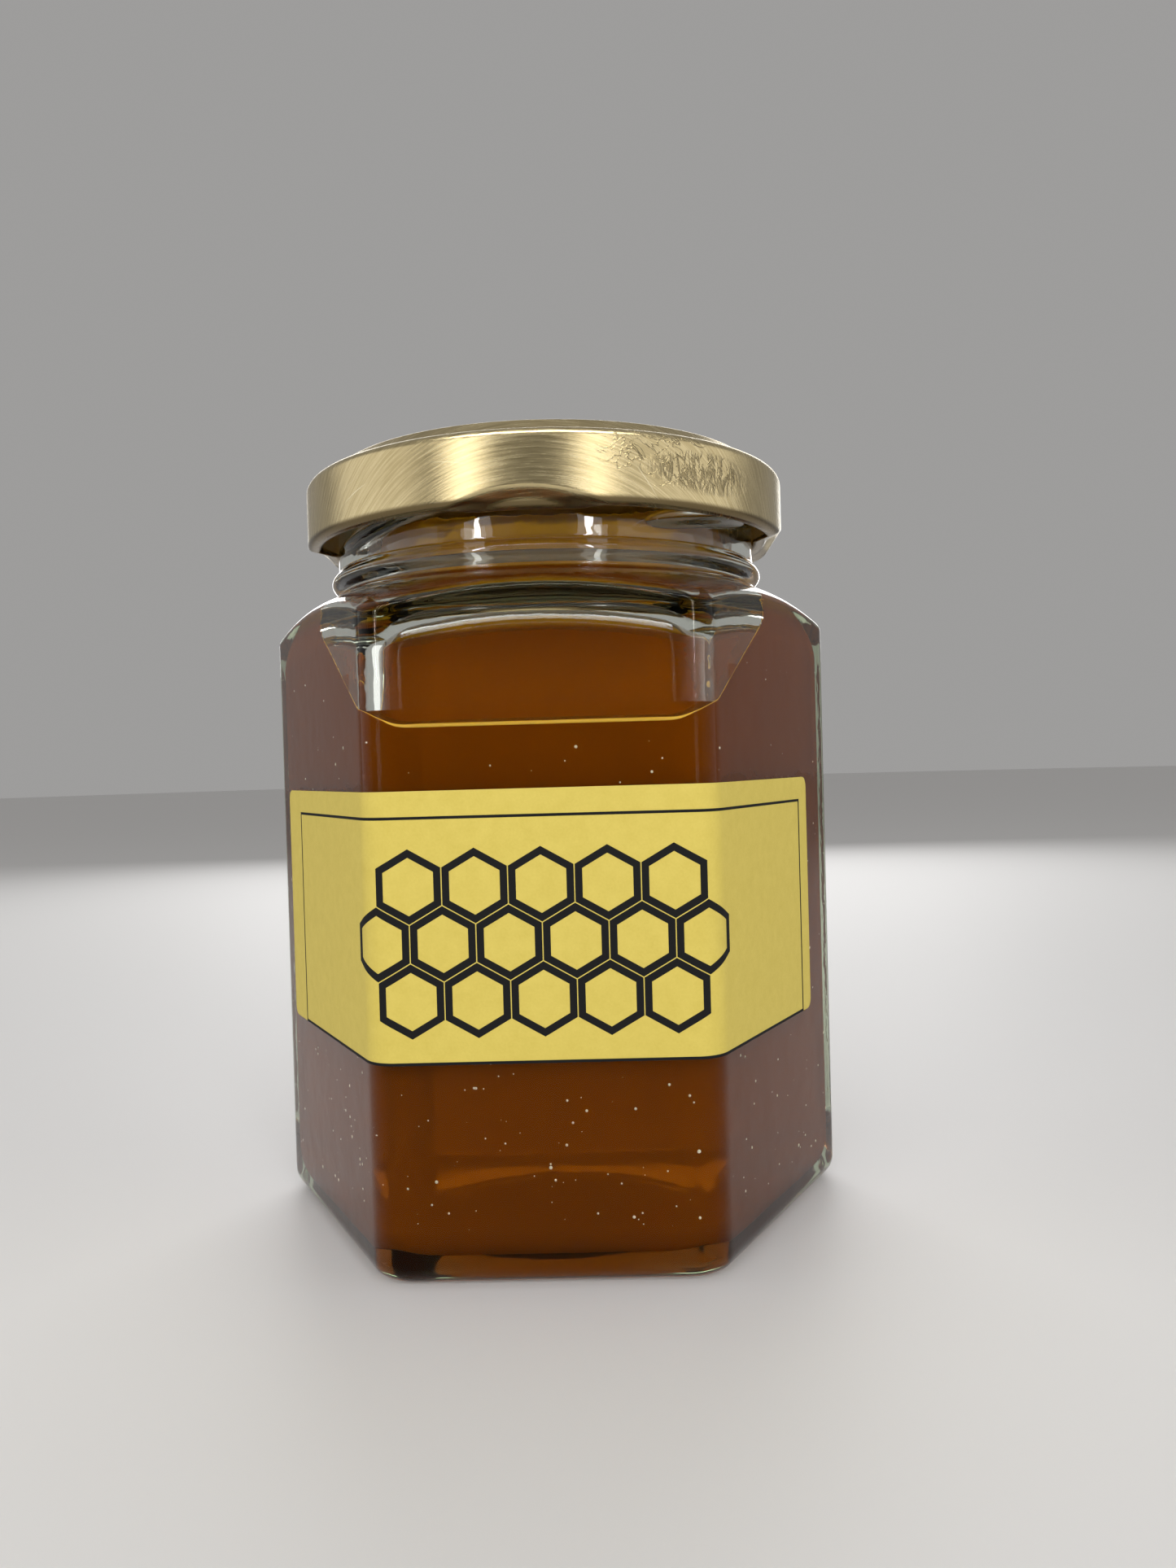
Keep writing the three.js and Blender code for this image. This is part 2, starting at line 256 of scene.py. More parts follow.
# Each stretch is its first height, its last height and its number of rows.
OUTER_STRETCHES = (
    (HEEL, ARCH_FOOT, 16),
    (ARCH_FOOT, ARCH_HEAD, 76),
    (ARCH_HEAD, RIM_TOP - RIM_ROUND, 64),
)
INNER_STRETCHES = (
    (RIM_TOP - RIM_ROUND, VAULT_TOP, 10),
    (VAULT_TOP, VAULT_FOOT, 70),
    (VAULT_FOOT, FLOOR + FLOOR_ROUND, 14),
)
print("rows up the outside:", sum(stretch[-1] for stretch in OUTER_STRETCHES))


# %% Kinds of rows
def spread(radius, height):
    """Rows as one array, radius first and then height, each with a value for every column."""
    return np.stack(np.broadcast_arrays(radius, height, around)[:2])


def heel_rows(apothem, corner, foot_corner, base, round_radius, count):
    """Rows that turn from the base into the wall along a quarter circle."""
    turn = np.linspace(0.0, math.pi / 2, count)[:, None]
    inset = round_radius * (1.0 - np.sin(turn))
    corners = foot_corner + (corner - foot_corner) * np.sin(turn)
    return spread(hexagon(around, apothem - inset, corners), base + round_radius * (1.0 - np.cos(turn)))


def base_rows(edge_radius, base, count):
    """Rows from the axis out to a foot ring. The middle is pressed up by a dome, (1 - (r / R)^4)^2."""
    share = np.linspace(0.0, 1.0, count, endpoint=False)[:, None]
    radius = share * edge_radius
    dome = np.clip(1.0 - (radius / PUSH_UP_RADIUS) ** 4, 0.0, 1.0) ** 2
    return spread(radius, base + PUSH_UP * dome)


def wall_rows(radius_at, stretches):
    """Rows at the heights of several stretches, with the radius that a function gives there."""
    height = np.concatenate([np.linspace(*stretch, endpoint=False) for stretch in stretches])[:, None]
    return spread(radius_at(around, height), height)


def rim_rows():
    """The rim: half an ellipse from the outside of the neck over into the mouth."""
    turn = np.linspace(0.0, math.pi, RIM_ROWS)[:, None]
    radius = (NECK + MOUTH) / 2 + (NECK - MOUTH) / 2 * np.cos(turn)
    return spread(radius, RIM_TOP - RIM_ROUND * (1.0 - np.sin(turn)))


def floor_rows(grow=0.0):
    """The floor of the hollow from the axis out to the wall, with the hollow larger by grow on all sides."""
    apothem = HALF_FLATS - WALL + grow
    level = FLOOR - grow
    edge = heel_rows(apothem, INNER_CORNER, INNER_CORNER + FLOOR_ROUND, level, FLOOR_ROUND, FLOOR_EDGE_ROWS)
    return np.concatenate([base_rows(edge[0, 0], level, FLOOR_ROWS), edge], axis=1)


print("rows over the floor:", floor_rows().shape[1])


# %% Make the glass
def glass_rows():
    """All rows of the glass, outside upwards and then inside downwards."""
    heel = heel_rows(HALF_FLATS, CORNER, FOOT_CORNER, 0.0, HEEL, HEEL_ROWS)
    base = base_rows(heel[0, 0], 0.0, BASE_ROWS)
    outside = wall_rows(outer_radius, OUTER_STRETCHES)
    inside = wall_rows(inner_radius, INNER_STRETCHES)
    return np.concatenate([base, heel, outside, rim_rows(), inside, floor_rows()[:, ::-1]], axis=1)


def polar_points(radius, angle, height):
    """Points in space: radius times cosine, radius times sine, and height."""
    return np.stack(np.broadcast_arrays(radius * np.cos(angle), radius * np.sin(angle), height), axis=-1)


def place(rows):
    """Rows of radius and height as points in space."""
    radius, height = rows
    return polar_points(radius, around, height)


glass = grid_object("jar_glass_wall", place(glass_rows()))
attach(glass, "root")
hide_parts("jar_glass")
print("glass faces:", len(glass.data.polygons))

# %% [markdown]
# ## The honey
# The honey fills the hollow and reaches a hair into the wall, so that no film of air shows between them.
# Its surface is a slope, low at the front, with a small meniscus where it climbs the glass. A neat way to
# cut a filled form by a surface is to take the whole hollow and press every point above the surface
# straight down on to it: the upright walls then end exactly on the contact line.

# %% Fill the hollow
INTO_WALL = 0.06 * MM
HONEY_TOP = 98.0 * MM
HONEY_FRONT = 64.2 * MM
HONEY_SLOPE = 0.86
MENISCUS = 1.2 * MM
MENISCUS_REACH = 1.0 * MM
SURFACE_LOW = 60.0 * MM
HONEY_STRETCHES = (
    (FLOOR + FLOOR_ROUND, SURFACE_LOW, 12),
    (SURFACE_LOW, VAULT_TOP, 150),
    (VAULT_TOP, HONEY_TOP, 30),
)
CAP_ROWS = 90


def honey_wall(angle, height):
    """The wall of the hollow, a hair into the glass."""
    return inner_radius(angle, height, INTO_WALL)


def honey_surface(radius, angle):
    """Height of the surface: a plane rising to the back, plus rise * exp(-gap / reach) beside the glass."""
    plane = HONEY_FRONT + HONEY_SLOPE * (radius * np.sin(angle) + HALF_FLATS - WALL)
    gap = np.maximum(honey_wall(angle, plane) - radius, 0.0)
    return plane + MENISCUS * np.exp(-gap / MENISCUS_REACH)


def honey_rows():
    """The hollow from the middle of the floor up to a level cap, pressed down on to the surface."""
    sides = wall_rows(honey_wall, HONEY_STRETCHES)
    share = np.linspace(1.0, 0.0, CAP_ROWS)[:, None]
    cap = spread(share * sides[0, -1], HONEY_TOP)
    radius, height = np.concatenate([floor_rows(INTO_WALL), sides, cap], axis=1)
    return radius, np.minimum(height, honey_surface(radius, around))


honey = grid_object("honey_fill", place(honey_rows()))
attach(honey, "root")
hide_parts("honey")
print("honey faces:", len(honey.data.polygons))

# %% [markdown]
# ### The bright line where the honey meets the glass
# At the edge of the surface the honey climbs the wall as a thin rounded film. It is drawn as a thin opaque
# golden ring: a painted highlight for the bright line that light through the film draws at the level. Its
# height at each direction is where the wall and the surface cross, found for all columns at once by
# halving an interval.

# %% Contact line
CONTACT_THIN = 0.07 * MM
CONTACT_THICK = 0.27 * MM
CONTACT_FULL = math.radians(24)
CONTACT_FADED = math.radians(33)
CONTACT_SIDES = 10
HALVINGS = 40


def turns(count):
    """Directions evenly spaced round a full turn."""
    return np.linspace(0.0, 2 * math.pi, count, endpoint=False)


def smoothstep(value, low, high):
    """Rises from 0 at low to 1 at high with level ends."""
    t = np.clip((value - low) / (high - low), 0.0, 1.0)
    return t * t * (3.0 - 2.0 * t)


def contact_height(angle):
    """Height at which the hollow's wall crosses the surface of the honey, by halving an interval."""
    low = np.full(angle.shape, FLOOR)
    high = np.full(angle.shape, HONEY_TOP)
    for _ in range(HALVINGS):
        middle = (low + high) / 2
        above = middle > honey_surface(inner_radius(angle, middle), angle)
        low = np.where(above, low, middle)
        high = np.where(above, middle, high)
    return low


def contact_rows():
    """A thin ring along the contact line: a small circle in radius and height, carried round the wall. It is
    thick along the front, where the surface leans away from the glass, and a hair elsewhere."""
    height = contact_height(around)
    turn = turns(CONTACT_SIDES)[:, None]
    front_share = smoothstep(-np.sin(around), math.cos(CONTACT_FADED), math.cos(CONTACT_FULL))
    thick = CONTACT_THIN + (CONTACT_THICK - CONTACT_THIN) * front_share
    radius = inner_radius(around, height) - thick / 2
    return radius + thick * np.cos(turn), height + thick * np.sin(turn)


# An opaque ring, a painted highlight along the level of the honey.
contact = grid_object("honey_contact_highlight", place(contact_rows()), closed_rows=True)
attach(contact, "root")
print("contact line at the front, mm:", contact_height(np.array([FRONT]))[0] / MM)

# %% [markdown]
# ### Bubbles and specks
# Raw honey holds tiny bubbles and specks of wax that catch the light where they cling to the glass. They
# are little balls of a few dozen faces, scattered by a seeded draw over the wetted walls, and joined in one
# mesh. Powers of a drawn number between 0 and 1 make most of them small and put more of them low down.

# %% Scatter the bubbles
BUBBLES = 900
BUBBLE_SMALL = 0.06 * MM
BUBBLE_LARGE = 0.23 * MM
BUBBLE_TOP = 76.0 * MM
BUBBLE_LOW_POWER = 1.5
BUBBLE_SMALL_POWER = 3
# Least and greatest depth of a bubble's middle in the honey, in bubble sizes; below zero is in the glass.
BUBBLE_SINK = (-0.5, 0.2)
BUBBLE_CLEAR = 1.5 * MM
BUBBLE_MERGE = 0.00001 * MM
BALL_ROWS = 7
BALL_COLUMNS = 8


def unit_ball():
    """Points of a ball of radius one, in rows from pole to pole."""
    polar = np.linspace(0.0, math.pi, BALL_ROWS)[:, None]
    return polar_points(np.sin(polar), turns(BALL_COLUMNS), -np.cos(polar)).reshape(-1, 3)


def scatter_bubbles(name, count, seed):
    """Balls at drawn directions and heights that cling to the wall. One drawn too high is drawn again
    between the floor and a little below the surface of the honey."""
    draw = np.random.default_rng(seed)
    angle = draw.uniform(0.0, 2 * math.pi, count)
    lowest = FLOOR + FLOOR_ROUND
    height = lowest + (BUBBLE_TOP - lowest) * draw.random(count) ** BUBBLE_LOW_POWER
    size = BUBBLE_SMALL + (BUBBLE_LARGE - BUBBLE_SMALL) * draw.random(count) ** BUBBLE_SMALL_POWER
    depth = size * draw.uniform(*BUBBLE_SINK, count)
    radius = inner_radius(angle, height) - depth
    limit = honey_surface(radius, angle) - BUBBLE_CLEAR
    height = np.where(height < limit, height, lowest + (limit - lowest) * draw.random(count))
    middle = polar_points(radius, angle, height)
    ball = unit_ball()
    points = middle[:, None, :] + size[:, None, None] * ball
    quads = grid_quads(BALL_ROWS, BALL_COLUMNS) + (np.arange(count) * len(ball))[:, None, None]
    return mesh_object(name, points, quads.reshape(-1, 4), merge=BUBBLE_MERGE)


bubbles = scatter_bubbles("honey_bubbles", BUBBLES, seed=7)
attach(bubbles, "root")
print("bubbles:", BUBBLES)

# %% [markdown]
# ## The lid
# The lid is one disc of thin tinplate, pressed to a raised ring on top, drawn down into a skirt and rolled
# inwards at its lower edge. The line of the sheet is drawn once as arcs and straights; setting it off by
# half the sheet to either side and joining both lines gives the closed section that is carried round the
# axis.

# %% Section of the lid
LID_RADIUS = lid_high[0]
LID_TOP = lid_high[2]
LID_BOTTOM = lid_low[2]
SHEET = 0.26 * MM
LEDGE = 99.4 * MM
LEDGE_ROUND = 1.1 * MM
RING = 29.4 * MM
RING_ROUND = 0.45 * MM
RING_LEAN = 38.0
PANEL = 26.0 * MM
PANEL_DROP = 0.8 * MM
SWELL_POINTS = 12
SKIRT_START = 0.2 * MM
CURL = 0.85 * MM
CURL_TURN = 290


def arc(centre, radius, first, last, count):
    """Points on a circle from one angle to another, in degrees."""
    turn = np.radians(np.linspace(first, last, count))
    return np.stack([centre[0] + radius * np.cos(turn), centre[1] + radius * np.sin(turn)], -1)


def straight(start, end, count):
    """Points evenly spaced on a line, without its last point."""
    share = np.linspace(0.0, 1.0, count, endpoint=False)[:, None]
    return np.array(start) * (1.0 - share) + np.array(end) * share


def sheet_line():
    """The middle of the sheet from the axis to the end of the curl, as radius and height. Each arc and
    straight ends with its number of points."""
    half = SHEET / 2
    outside = LID_RADIUS - half
    top = LID_TOP - half
    ledge = LEDGE - half
    panel = top - PANEL_DROP
    panel_edge = PANEL - PANEL_DROP
    curl_centre = (outside - CURL, LID_BOTTOM + half + CURL)
    lean = math.radians(RING_LEAN)
    flank = (top - ledge - 2 * RING_ROUND * (1.0 - math.sin(lean))) / math.cos(lean)
    foot = RING + (2 * math.cos(lean) - 1.0) * RING_ROUND + flank * math.sin(lean)
    swell = np.linspace(0.0, 1.0, SWELL_POINTS, endpoint=False)
    swell_height = panel + PANEL_DROP * smoothstep(swell, 0.0, 1.0)
    return np.concatenate([
        straight((0.0, panel), (panel_edge, panel), 8),
        np.stack([panel_edge + 2 * PANEL_DROP * swell, swell_height], -1),
        straight((PANEL + PANEL_DROP, top), (RING - RING_ROUND, top), 5),
        arc((RING - RING_ROUND, top - RING_ROUND), RING_ROUND, 90, RING_LEAN, 8),
        arc((foot, ledge + RING_ROUND), RING_ROUND, 180 + RING_LEAN, 270, 8),
        arc((outside - LEDGE_ROUND, ledge - LEDGE_ROUND), LEDGE_ROUND, 90, 0, 12),
        straight((outside, ledge - LEDGE_ROUND - SKIRT_START), curl_centre + np.array([CURL, 0.0]), 30),
        arc(curl_centre, CURL, 0, -CURL_TURN, 26),
    ])


def thicken(line, thickness):
    """A closed loop round a line: the line set off by half the thickness to both sides."""
    along = np.gradient(line, axis=0)
    along /= np.linalg.norm(along, axis=1, keepdims=True)
    normal = np.stack([-along[:, 1], along[:, 0]], -1)
    offset = normal * thickness / 2
    offset[0, 0] = 0.0
    return np.concatenate([(line - offset), (line + offset)[::-1]])


print("points along the sheet:", len(sheet_line()))

# %% [markdown]
# ### Lugs
# Four lugs are pressed inwards at the lower edge and grip the thread ribs. Pressing moves the sheet and
# adds nothing to it, so a lug is a dent: a length, worked out from angle and height, that is taken off the
# radius.

# %% Press the lugs and make the lid
LUGS = 4
LUG_CENTRE = math.radians(-1.5)
LUG_HALF = math.radians(16.7)
LUG_RISE = 2.1 * MM
LUG_SLANT = 1.8
LUG_DEPTH = 2.05 * MM
LUG_CREASE = 0.3 * MM
LID_COLUMNS = 432


def lug_dent(angle, height):
    """How far the edge is pressed in: slant * (crease - height) below a crease that is a low arch over each
    lug, with the crease itself and the deepest part rounded."""
    spacing = 2 * math.pi / LUGS
    offset = (angle - FRONT - LUG_CENTRE + spacing / 2) % spacing - spacing / 2
    crease = LID_BOTTOM + LUG_RISE * (1.0 - (offset / LUG_HALF) ** 2)
    slanted = smooth_max(LUG_SLANT * (crease - height), 0.0, LUG_CREASE)
    return smooth_min(slanted, LUG_DEPTH, LUG_CREASE)


def lid_points():
    """The section carried round the axis, with the lugs taken off the radius of the skirt and curl. The UV
    map is the flat disc before pressing: the length along the sheet from the axis, at the same angle."""
    line = sheet_line()
    section = thicken(line, SHEET)
    angle = turns(LID_COLUMNS)
    height = section[:, 1:]
    radius = section[:, :1] - lug_dent(angle, height) * (section[:, :1] > NECK)
    steps = np.linalg.norm(np.diff(line, axis=0), axis=1)
    run = np.concatenate([[0.0], np.cumsum(steps)])
    flat = np.concatenate([run, run[::-1]])[:, None]
    return polar_points(radius, angle, height), polar_points(flat, angle, 0.0)[..., :2]


lid_grid, lid_uv = lid_points()
lid = grid_object("lid_shell", lid_grid, uv=lid_uv)
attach(lid, "root")
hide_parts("lid")
print("lid faces:", len(lid.data.polygons))

# %% [markdown]
# ## The label
# The label is a paper band that follows the glass over the front face, round two corners and on to the
# faces beside it. One function carries flat label coordinates, s along the band and height, on to the
# glass. With it the paper and everything printed on it are drawn flat and then wrapped, just as the real
# one was.

# %% Wrap flat coordinates round the jar
PAPER = 0.12 * MM
PAPER_LIFT = 0.015 * MM
LABEL_LEFT_REACH = 14.5 * MM
LABEL_RIGHT_REACH = 10.3 * MM
LABEL_CORNER = 1.3 * MM
FLAT_HALF = (HALF_FLATS - CORNER) * math.tan(SECTOR / 2)
BEND = CORNER * SECTOR
FACE_MIDDLE = 2 * FLAT_HALF + BEND
LABEL_BOTTOM = label_low[2]
LABEL_TOP = label_high[2]
LABEL_COLUMNS = 120
BEND_COLUMNS = 17
LABEL_ROWS = 22
LABEL_CORNER_ROWS = 10


def wrap(s, height, lift):
    """Points lift away from the glass at distance s from the middle of the front face: straight along the
    face, then round the corner circle, then straight along the next face; left is the mirror of right."""
    side = np.where(s < 0.0, -1.0, 1.0)
    run = np.abs(s)
    turn = np.clip((run - FLAT_HALF) / CORNER, 0.0, SECTOR)
    beyond = np.maximum(run - FLAT_HALF - BEND, 0.0)
    x = np.minimum(run, FLAT_HALF) + (CORNER + lift) * np.sin(turn) + beyond * np.cos(turn)
    y = -(HALF_FLATS - CORNER) - (CORNER + lift) * np.cos(turn) + beyond * np.sin(turn)
    return np.stack(np.broadcast_arrays(side * x, y, height), -1)


def label_grid(lift):
    """The paper's outline is a rectangle with round corners: near the top and bottom each row is shorter by
    corner - sqrt(corner^2 - depth^2)."""
    fine = np.linspace(0.0, LABEL_CORNER, LABEL_CORNER_ROWS)
    middle = np.linspace(LABEL_BOTTOM + LABEL_CORNER, LABEL_TOP - LABEL_CORNER, LABEL_ROWS)[1:-1]
    height = np.concatenate([LABEL_BOTTOM + fine, middle, (LABEL_TOP - fine)[::-1]])[:, None]
    depth = np.maximum(LABEL_CORNER - np.minimum(height - LABEL_BOTTOM, LABEL_TOP - height), 0.0)
    inset = LABEL_CORNER - np.sqrt(LABEL_CORNER**2 - depth**2)
    first = -(FACE_MIDDLE + LABEL_LEFT_REACH)
    last = FACE_MIDDLE + LABEL_RIGHT_REACH
    bends = [np.linspace(sign * FLAT_HALF, sign * (FLAT_HALF + BEND), BEND_COLUMNS) for sign in (-1, 1)]
    s = np.unique(np.concatenate([np.linspace(first, last, LABEL_COLUMNS), *bends]))[None, :]
    s = np.clip(s, first + inset, last - inset)
    return wrap(s, height, lift), np.stack(np.broadcast_arrays(s, height), -1)


def label_points():
    """Front and back of the paper as one closed strip: front rows upwards, then back rows downwards."""
    front, front_uv = label_grid(PAPER_LIFT + PAPER)
    back, back_uv = label_grid(PAPER_LIFT)
    return np.concatenate([front, back[::-1]]), np.concatenate([front_uv, back_uv[::-1]])


label_rows, label_uv = label_points()
label = grid_object("label_paper", label_rows, closed_rows=True, closed_columns=False, uv=label_uv)
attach(label, "root")
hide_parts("label")
print("label length mm:", (2 * FACE_MIDDLE + LABEL_LEFT_REACH + LABEL_RIGHT_REACH) / MM)

# %% [markdown]
# ### What is printed on the label
# A thin black frame runs round the label, and its middle carries a honeycomb of plain outlines. Each
# printed line is a narrow strip of ink just proud of the paper: a path in flat coordinates, widened to both
# sides and wrapped on to the jar. The frame sits a little low, so that its bottom line falls on the paper's
# edge.

# %% Strips of ink
INK = 0.012 * MM
INK_LIFT = PAPER_LIFT + PAPER + INK
INK_STEP = 0.25 * MM


def strip(corners, width):
    """A closed outline in flat coordinates as a strip of rows by columns: each row is the outline set off by
    a share of the width, mitred at its corners, and the columns step evenly along every side."""
    ahead = np.roll(corners, -1, axis=0) - corners
    lengths = np.linalg.norm(ahead, axis=1, keepdims=True)
    ahead = ahead / lengths
    bisector = ahead + np.roll(ahead, 1, axis=0)
    normal = np.stack([-bisector[:, 1], bisector[:, 0]], -1)
    reach = np.sum(normal * np.stack([-ahead[:, 1], ahead[:, 0]], -1), axis=1, keepdims=True)
    across = np.linspace(-0.5, 0.5, 2 + int(width / INK_STEP))[:, None, None]
    rows = corners + across * width * normal / reach
    rows = np.concatenate([rows, rows[:, :1]], axis=1)
    steps = 1 + (lengths[:, 0] / INK_STEP).astype(int)
    sides = [
        np.linspace(rows[:, side], rows[:, side + 1], count, endpoint=False, axis=1)
        for side, count in enumerate(steps)
    ]
    return np.concatenate(sides, axis=1)


def ink_object(name, strips):
    """Closed strips of ink, wrapped on to the label and joined in one mesh."""
    points = []
    quads = []
    start = 0
    for flat in strips:
        rows, columns = flat.shape[:2]
        points.append(wrap(flat[..., 0], flat[..., 1], INK_LIFT).reshape(-1, 3))
        quads.append(start + grid_quads(rows, columns))
        start += rows * columns
    return mesh_object(name, np.concatenate(points), np.concatenate(quads))


print("ink above the glass, mm:", INK_LIFT / MM)

# %% Frame and honeycomb
FRAME_LINE = 0.34 * MM
FRAME_TOP = 54.7 * MM
FRAME_BOTTOM = LABEL_BOTTOM + 0.16 * MM
FRAME_LEFT = -(FACE_MIDDLE + 8.6 * MM)
FRAME_RIGHT = FACE_MIDDLE + 7.3 * MM
CELL = 3.85 * MM
CELL_GAP = 0.55 * MM
CELL_LINE = 0.85 * MM
COMB_MIDDLE = 40.2 * MM
# Each row of cells is its level above the middle row and its number of cells.
COMB_ROWS = ((1, 5), (0, 6), (-1, 5))


def frame_strip():
    """The rectangle of the frame."""
    low = [(FRAME_LEFT, FRAME_BOTTOM), (FRAME_RIGHT, FRAME_BOTTOM)]
    high = [(FRAME_RIGHT, FRAME_TOP), (FRAME_LEFT, FRAME_TOP)]
    return strip(np.array(low + high), FRAME_LINE)


def comb_strips():
    """Outlines of honeycomb cells, point upwards, in rows that nest: a cell is sqrt(3) radii wide, and the
    rows stand sqrt(3/4) of the pitch apart."""
    turn = np.radians((np.arange(SIDES) + 0.5) * 360.0 / SIDES)
    outline = CELL * np.stack([np.cos(turn), np.sin(turn)], -1)
    pitch = math.sqrt(3.0) * CELL + CELL_LINE / 2 + CELL_GAP
    row_pitch = pitch * math.sqrt(0.75)
    strips = []
    for level, count in COMB_ROWS:
        for cell in range(count):
            middle = np.array([(cell - (count - 1) / 2) * pitch, COMB_MIDDLE + level * row_pitch])
            strips.append(strip(outline + middle, CELL_LINE))
    return strips


ink = ink_object("label_print", [frame_strip()] + comb_strips())
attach(ink, "root")
print("printed faces:", len(ink.data.polygons))

# %% [markdown]
# ## Finishes
# Small helpers keep the node trees readable: one makes a material with its Principled shader, and one adds
# a node and wires it in a line. Constants go straight on the shader's own sockets, and only what changes
# over the surface is wired.


# %% Material helpers
def new_material(name, **sockets):
    """A material with a Principled shader whose named sockets hold the given constants."""
    material = bpy.data.materials.new(name)
    material.use_nodes = True
    shader = material.node_tree.nodes["Principled BSDF"]
    for socket, value in sockets.items():
        shader.inputs[socket.replace("_", " ")].default_value = value
    return material, material.node_tree, shader


def add(tree, kind, values=None, **links):
    """A node of a kind, with values for its settings and inputs, and links to its inputs, all by name."""
    node = tree.nodes.new(kind)
    for key, value in (values or {}).items():
        if key in node.inputs:
            node.inputs[key].default_value = value
        else:
            setattr(node, key, value)
    for key, source in links.items():
        tree.links.new(source, node.inputs[key])
    return node


print("materials in the frame:", len(bpy.data.materials))

# %% [markdown]
# ### A shared effect: uneven surface
# Paper, lacquer and pressed glass all have some cloudy unevenness, only at different scales. It is a node
# group with a vector, a scale and a contrast, and puts out a value round one half.

# %% Node group for cloudiness
FINER = 5.0
FINE_SHARE = 0.4


def math_node(tree, operation, first, second):
    """One sum or product; the second term is a number or another node's output."""
    node = add(tree, "ShaderNodeMath", {"operation": operation})
    tree.links.new(first, node.inputs[0])
    if isinstance(second, float):
        node.inputs[1].default_value = second
    else:
        tree.links.new(second, node.inputs[1])
    return node.outputs[0]


def cloud_group():
    """Two noises, one several times finer than the other, mixed and stretched about one half."""
    group = bpy.data.node_groups.new("cloudy_unevenness", "ShaderNodeTree")
    face = group.interface
    face.new_socket("Vector", in_out="INPUT", socket_type="NodeSocketVector")
    face.new_socket("Scale", in_out="INPUT", socket_type="NodeSocketFloat")
    face.new_socket("Contrast", in_out="INPUT", socket_type="NodeSocketFloat")
    face.new_socket("Value", in_out="OUTPUT", socket_type="NodeSocketFloat")
    given = group.nodes.new("NodeGroupInput").outputs
    result = group.nodes.new("NodeGroupOutput").inputs
    finer = math_node(group, "MULTIPLY", given["Scale"], FINER)
    wide = add(group, "ShaderNodeTexNoise", {"Detail": 3.0}, Vector=given["Vector"], Scale=given["Scale"])
    fine = add(group, "ShaderNodeTexNoise", {"Detail": 2.0}, Vector=given["Vector"], Scale=finer)
    both = add(group, "ShaderNodeMix", {"Factor": FINE_SHARE}, A=wide.outputs["Fac"], B=fine.outputs["Fac"])
    centred = math_node(group, "SUBTRACT", both.outputs["Result"], 0.5)
    stretched = math_node(group, "MULTIPLY", centred, given["Contrast"])
    group.links.new(math_node(group, "ADD", stretched, 0.5), result["Value"])
    return group


cloudy = cloud_group()


def add_clouds(tree, vector, scale, contrast):
    """The cloudiness group placed in a material, with its own scale and contrast."""
    node = tree.nodes.new("ShaderNodeGroup")
    node.node_tree = cloudy
    node.inputs["Scale"].default_value = scale
    node.inputs["Contrast"].default_value = contrast
    tree.links.new(vector, node.inputs["Vector"])
    return node.outputs["Value"]


print("nodes in the shared effect:", len(cloudy.nodes))

# %% [markdown]
# ### How faces shine and bend light
# Where honey wets the glass there is no air between them, so light passes with hardly any reflection or
# bending. A material can't know that by itself, so every face of the glass and of the honey holds two
# attributes: shine feeds the specular tint, and bend the index of refraction. One material stays on all
# faces of a piece, so that its volume is left where it was entered.

# %% Optics of wet and dry faces
WET_INDEX = 1.01
GLASS_INDEX = 1.5
HONEY_INDEX = 1.49


def read_optics(tree, shader):
    """Specular tint and index of refraction from what each face holds."""
    for attribute, socket in (("shine", "Specular Tint"), ("bend", "IOR")):
        held = add(tree, "ShaderNodeAttribute", {"attribute_name": attribute})
        tree.links.new(held.outputs["Fac"], shader.inputs[socket])


def store_optics(mesh, wet, shine, index):
    """Stores how much each face shines and bends light: fully where it meets air, hardly where it is wet."""
    held = {"shine": np.where(wet, 0.0, shine), "bend": np.where(wet, WET_INDEX, index)}
    for attribute, value in held.items():
        layer = mesh.attributes.new(attribute, "FLOAT", "FACE")
        layer.data.foreach_set("value", value.astype(np.float32))


def face_centres(mesh):
    """Middle of every face, as angle, radius and height."""
    centre = np.empty(3 * len(mesh.polygons))
    mesh.polygons.foreach_get("center", centre)
    x, y, height = centre.reshape(-1, 3).T
    return np.arctan2(y, x), np.hypot(x, y), height


honey_levels = face_centres(honey.data)[2]
print("honey faces from", honey_levels.min() / MM, "to", honey_levels.max() / MM, "mm")

# %% [markdown]
# ### Clear glass
# Jar glass is colourless until you look along it: then a trace of iron shows as green. Absorption in the
# volume does just that, because its tint grows with the length of the way through. The faint waviness of
# pressed glass is a weak bump. The faces shine little, and the smoother neck more.

# %% Glass material
GLASS_GREEN = (0.30, 0.52, 0.0)
GLASS_DENSITY = 16.0


def bumped(tree, height, strength, distance, **under):
    """The normal of a bump, laid over another normal if one is given."""
    values = {"Strength": strength, "Distance": distance}
    return add(tree, "ShaderNodeBump", values, Height=height, **under).outputs["Normal"]


def tint_body(tree, colour, density):
    """Absorption in the volume: the longer the way through, the deeper the colour."""
    tint = add(tree, "ShaderNodeVolumeAbsorption", {"Color": (*colour, 1.0), "Density": density})
    tree.links.new(tint.outputs["Volume"], tree.nodes["Material Output"].inputs["Volume"])


def clear_glass():
    """Glass with its faint waviness and green body."""
    material, tree, shader = new_material(
        "clear_glass",
        Base_Color=(0.98, 0.99, 0.98, 1.0),
        Roughness=0.015,
        IOR=GLASS_INDEX,
        Transmission_Weight=1.0,
    )
    read_optics(tree, shader)
    place_in = add(tree, "ShaderNodeTexCoord")
    waves = add_clouds(tree, place_in.outputs["Object"], scale=55.0, contrast=1.0)
    tree.links.new(bumped(tree, waves, strength=0.06, distance=2.0 * MM), shader.inputs["Normal"])
    tint_body(tree, GLASS_GREEN, GLASS_DENSITY)
    return material


